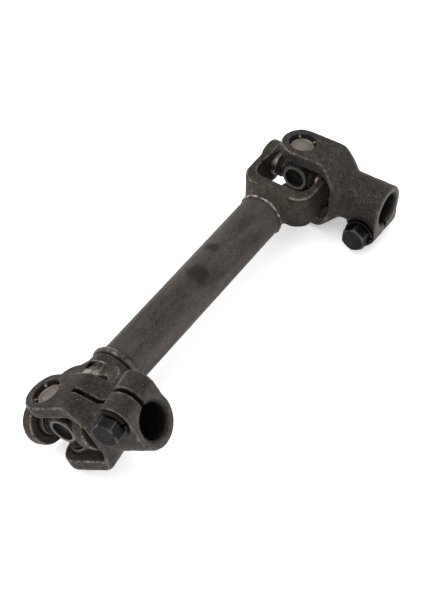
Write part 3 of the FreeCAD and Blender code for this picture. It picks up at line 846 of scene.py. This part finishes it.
def weld_piece(end):
    """The weld: overlapping ripples all the way round, with a lump where it ended."""
    weld = WELDS[end]
    front = TUBE_START[end] - WELD_FRONT[end]
    back = TUBE_START[end] + WELD_BACK[end]
    neck_r = WELD_NECK_R[end]
    crown = WELD_CROWN_R[end] - (neck_r + TUBE_R) / 2
    arc = []
    for k in range(WELD_STEPS + 1):
        t = k / WELD_STEPS
        arc.append((neck_r + (TUBE_R - neck_r) * t + crown * arch(t), front + (back - front) * t))
    sunk = [(TUBE_R - WELD_SUNK, back), (NECK_TIP_R - WELD_SUNK, front)]
    rng = random.Random(weld.seed)
    waver = [rng.uniform(-1, 1) for _ in range(WELD_RIPPLES)]

    def shift(angle, r, x):
        t = (x - front) / (back - front)
        phase = angle / TURN * WELD_RIPPLES + 1.5 * (t - 0.5) ** 2
        cell = int(phase) % WELD_RIPPLES
        step = phase - math.floor(phase)
        ripple = weld.ripple_depth * (0.34 * (step - 0.5) + 0.2 * waver[cell])
        gap = abs((angle - weld.lump_at + math.pi) % TURN - math.pi)
        lump = LUMP_HEIGHT * math.exp(-(gap / LUMP_WIDTH) ** 2)
        proud = arch(t) if r > NECK_TIP_R - 0.05 else 0
        stray = WELD_WAVER * waver[cell] if 0.1 < t < 0.9 else 0
        return r + proud * (ripple + lump), x + stray

    points, faces = lathe(arc + sunk, WELD_SEGMENTS, closed=True, shift=shift)
    local = laid_along_x(points)
    row = PLACES[end]["tube_yoke"].to_row(local)
    piece = mesh_object(end + "_weld_ripples", row, faces, LOOKS[end + "_weld"], "shaft",
                        end + "_weld_bead", crease=80)
    along = (local[:, 0] - front) / (back - front)
    angle = np.arctan2(local[:, 2], local[:, 1])
    broken = np.array([noise.noise((math.cos(a) * 3, math.sin(a) * 3, 1.7)) for a in angle])
    # Painted shade along both edges of the bead, where it meets the neck and the tube, with patches of soot round
    # it
    edge = np.maximum(rise(0.72, 0.95, along), fall(0.03, 0.2, along))
    grime_and_shade = edge * 0.9 + rise(0.05, 0.4, broken) * 0.35
    add_values(piece, "grime_and_shade", np.clip(grime_and_shade, 0, 1))


CAP_SEGMENTS = 96
CAP_DISH = 0.14         # how far the middle of the face lies below the cap's outer end
CAP_RIM = 0.45          # the rounding between the cap's face and its side
RING_INNER_R = 4.95     # the pressed ring's floor, with a slope to each side of it
RING_OUTER_R = 5.35
RING_SLOPE = 0.35
RING_DEPTH = 0.34


def cap_piece(end, bearing):
    """A drawn cup with a rounded rim and a pressed ring on its face."""
    ring_floor = CAP_OUTER - RING_DEPTH
    inside = CAP_OUTER - CAP_END_WALL
    profile = rounded_profile([
        (0, CAP_OUTER - CAP_DISH, 0), (RING_INNER_R - RING_SLOPE, CAP_OUTER - 0.10, 0.3),
        (RING_INNER_R, ring_floor, 0.2), (RING_OUTER_R, ring_floor, 0.2),
        (RING_OUTER_R + RING_SLOPE, CAP_OUTER, 0.25), (CAP_R - CAP_RIM, CAP_OUTER, 0.4),
        (CAP_R, CAP_OUTER - CAP_RIM, 0.4), (CAP_R, CAP_MOUTH, 0.25),
        (CAP_INNER_R, CAP_MOUTH, 0.2), (CAP_INNER_R, inside, 0.3), (0, inside, 0)])
    points, faces = lathe(profile[::-1], CAP_SEGMENTS)
    name = end + "_" + bearing
    body = "shaft" if bearing.startswith("tube") else end + "_end_clamp"
    mesh_object(name + "_cup", PLACES[end][bearing].to_row(points), faces,
                LOOKS["bearing_cap"], body, name + "_cap", crease=40)


SEAL_SEGMENTS = 80


def seal_piece(end, bearing):
    """A rubber ring with a round back and a lip that reaches for the cap."""
    profile = rounded_profile([
        (TRUNNION_R, SHOULDER_FACE, 0), (SEAL_R - 0.35, SHOULDER_FACE, 0.5),
        (SEAL_R, SHOULDER_FACE + 0.9, 0.5), (SEAL_R - 0.7, SHOULDER_FACE + 1.4, 0.3),
        (SEAL_R - 0.15, SHOULDER_FACE + 2.1, 0.4), (SEAL_R - 0.9, SEAL_END, 0.5),
        (TRUNNION_R, SEAL_END, 0)])
    points, faces = lathe(profile[::-1], SEAL_SEGMENTS, closed=True)
    name = end + "_" + bearing
    mesh_object(name + "_lip", PLACES[end][bearing].to_row(points), faces, LOOKS["seal"],
                end + "_spider", name + "_seal", crease=60)


BOLT_SEGMENTS = 144
THREAD_RINGS = 60
NEARLY = 0.01           # a point this near to a height or radius counts as on it
CORNER_R = HEAD_FACE_R + HEAD_CORNER_REACH
CHAMFER_SLOPE = 0.52


def hexagon_r(angle):
    """How far the head's flats are from the bolt's axis."""
    from_flat = (angle + TURN / 12) % (TURN / 6) - TURN / 12
    return HEAD_ACROSS_FLATS / 2 / math.cos(from_flat)


def bolt_shift(angle, r, z):
    """Moves the turned outline's points onto the thread and onto the hexagon."""
    if z < THREAD_END and r > BOLT_R - 0.4:
        turn = (z / THREAD_PITCH - angle / TURN) % 1
        return r - THREAD_DEPTH * abs(2 * turn - 1), z
    if r < HEAD_FACE_R + NEARLY or z < HEAD_UNDER + NEARLY:
        return r, z
    if z > HEAD_TOP - NEARLY:
        share = min((r - HEAD_FACE_R) / HEAD_CORNER_REACH, 0.96)
        reach = (hexagon_r(angle) - HEAD_FACE_R) * share
        return HEAD_FACE_R + reach, z - reach * CHAMFER_SLOPE
    return hexagon_r(angle), z


def bolt_profile():
    """The bolt's outline from its tip to its head's face, before bolt_shift."""
    pitch = (THREAD_END - THREAD_START) / THREAD_RINGS
    profile = [(0, BOLT_TIP), (BOLT_R - 1.0, BOLT_TIP)]
    profile += [(BOLT_R, THREAD_START + pitch * k) for k in range(THREAD_RINGS)]
    profile += [(BOLT_WAIST_R, -BOLT_WAIST_HALF), (BOLT_WAIST_R, BOLT_WAIST_HALF),
                (BOLT_SHANK_R, BOLT_WAIST_END), (BOLT_SHANK_R, HEAD_UNDER - 0.001)]
    profile += [(HEAD_FACE_R - 0.3, HEAD_UNDER), (HEAD_FACE_R, HEAD_UNDER + 0.005),
                (CORNER_R, HEAD_UNDER + 0.25), (CORNER_R, HEAD_UNDER + 2),
                (CORNER_R, HEAD_TOP - 1.05), (CORNER_R, HEAD_TOP - 0.85)]
    profile += [(HEAD_FACE_R + HEAD_CORNER_REACH * share, HEAD_TOP)
                for share in (0.93, 0.8, 0.6, 0.4, 0.2, 0.05)]
    profile += [(HEAD_FACE_R - 0.25, HEAD_TOP - 0.01), (HEAD_FACE_R - 0.7, HEAD_TOP - 0.03),
                (3.4, HEAD_TOP - 0.06), (0, HEAD_TOP - 0.07)]
    return profile


def bolt_piece(end):
    """The clamp bolt: chamfered hexagon head, relieved middle and a rolled thread."""
    points, faces = lathe(bolt_profile(), BOLT_SEGMENTS, shift=bolt_shift)
    local = np.array(points)
    piece = mesh_object(end + "_hex_bolt", PLACES[end]["bolt"].to_row(local), faces,
                        LOOKS["bolt"], end + "_end_clamp", end + "_clamp_bolt", crease=25)
    around = np.hypot(local[:, 0], local[:, 1])
    height = local[:, 2]
    rim = (around > HEAD_FACE_R - 0.1) * (height > HEAD_TOP - 1.0)
    worn = np.where(rim, 0.45, 0.05) + np.where(around > CORNER_R - 0.16, 0.5, 0)
    add_values(piece, "wear", np.where(height > HEAD_UNDER + 0.2, worn, 0))


WASHER_STEPS = 110
WASHER_HALF_GAP = math.radians(4.6)
WASHER_LEAN = 0.035     # how much its cut leans, in radians to a millimetre of height


def washer_piece(end):
    """A spring lock washer: a split ring of near-square bar."""
    low = SPOTFACE_Y + 0.02
    high = HEAD_UNDER
    section = rounded_profile([
        (WASHER_HOLE_R, low + 0.4, 0), (WASHER_HOLE_R + 0.0001, low, 0.35), (WASHER_R, low, 0.45),
        (WASHER_R, high, 0.45), (WASHER_HOLE_R, high, 0.35), (WASHER_HOLE_R, low + 0.6, 0)])
    count = len(section)
    points = []
    for k in range(WASHER_STEPS + 1):
        bend = WASHER_HALF_GAP + (TURN - 2 * WASHER_HALF_GAP) * k / WASHER_STEPS
        for r, z in section:
            angle = bend + (z - (low + high) / 2) * WASHER_LEAN
            points.append((r * math.cos(angle), r * math.sin(angle), z))
    faces = []
    for k in range(WASHER_STEPS):
        here, ahead = k * count, (k + 1) * count
        for i in range(count):
            n = (i + 1) % count
            faces.append((here + i, ahead + i, ahead + n, here + n))
    faces.append(tuple(range(count)))
    faces.append(tuple(WASHER_STEPS * count + i for i in reversed(range(count))))
    mesh_object(end + "_split_washer", PLACES[end]["bolt"].to_row(points), faces, LOOKS["washer"],
                end + "_end_clamp", end + "_spring_washer", crease=40)


def joint_pieces(end):
    """All of one joint's pieces."""
    clamp = end + "_end_clamp"
    forging(end, "tube_yoke", "shaft", tube_yoke_crisp(end), tube_yoke_marks(end))
    forging(end, "clamp_yoke", clamp, clamp_yoke_crisp(end), clamp_yoke_marks(end))
    forging(end, "cross", end + "_spider", cross_crisp, cross_marks)
    weld_piece(end)
    bolt_piece(end)
    washer_piece(end)
    for bearing in BEARINGS:
        cap_piece(end, bearing)
        seal_piece(end, bearing)
        needles = NODES[end + "_" + bearing + "_needles"]
        needles.data.materials.clear()
        needles.data.materials.append(LOOKS["needles"])


# --- Floor, light and camera -----------------------------------------------------------
FLOOR_REACH = 6
FLOOR_GLOW = 0.3
SKY_STRENGTH = 1.3
LIGHT_AIM = Vector((0, 0, 0.03))


def floor():
    look = Look("pale_floor")
    colour = look.mix(look.noise(9, 2.0, 0.5), (0.90, 0.90, 0.90), (0.93, 0.93, 0.93))
    look.finish(colour, 0.0, 0.8)
    look.shader.inputs["Emission Color"].default_value = (1, 1, 1, 1)
    look.shader.inputs["Emission Strength"].default_value = FLOOR_GLOW
    mesh = bpy.data.meshes.new("floor")
    corners = [(-FLOOR_REACH, -FLOOR_REACH, 0), (FLOOR_REACH, -FLOOR_REACH, 0),
               (FLOOR_REACH, FLOOR_REACH, 0), (-FLOOR_REACH, FLOOR_REACH, 0)]
    mesh.from_pydata(corners, [], [(0, 1, 2, 3)])
    mesh.materials.append(look.material)
    surface = bpy.data.objects.new("floor", mesh)
    bpy.context.scene.collection.objects.link(surface)


def area_light(name, place, size, power):
    lamp = bpy.data.lights.new(name, "AREA")
    lamp.shape = "RECTANGLE"
    lamp.size, lamp.size_y = size
    lamp.energy = power
    holder = bpy.data.objects.new(name, lamp)
    holder.location = place
    holder.rotation_euler = (LIGHT_AIM - Vector(place)).to_track_quat("-Z", "Y").to_euler()
    bpy.context.scene.collection.objects.link(holder)


def lights():
    world = bpy.data.worlds.new("studio")
    world.use_nodes = True
    sky = world.node_tree.nodes["Background"]
    sky.inputs["Color"].default_value = (1, 1, 1, 1)
    sky.inputs["Strength"].default_value = SKY_STRENGTH
    bpy.context.scene.world = world
    area_light("key", (-0.35, 0.55, 0.95), (0.9, 0.9), 6)
    area_light("fill", (-0.9, -0.5, 0.6), (0.9, 0.6), 2)


def camera():
    lens = bpy.data.cameras.new("camera")
    lens.sensor_fit = "VERTICAL"
    lens.sensor_height = 36.0
    lens.lens = CAMERA_LENS
    lens.clip_start = 0.01
    holder = bpy.data.objects.new("camera", lens)
    azimuth = Matrix.Rotation(math.radians(CAMERA_AZIMUTH + 90), 4, "Z")
    tip = Matrix.Rotation(math.radians(90 - CAMERA_ELEVATION), 4, "X")
    roll = Matrix.Rotation(math.radians(CAMERA_ROLL), 4, "Z")
    holder.matrix_world = Matrix.Translation(Vector(CAMERA_PLACE)) @ azimuth @ tip @ roll
    bpy.context.scene.collection.objects.link(holder)
    bpy.context.scene.camera = holder


tube_piece()
for end in ENDS:
    joint_pieces(end)
floor()
lights()
camera()
bpy.context.scene.view_settings.view_transform = "Standard"
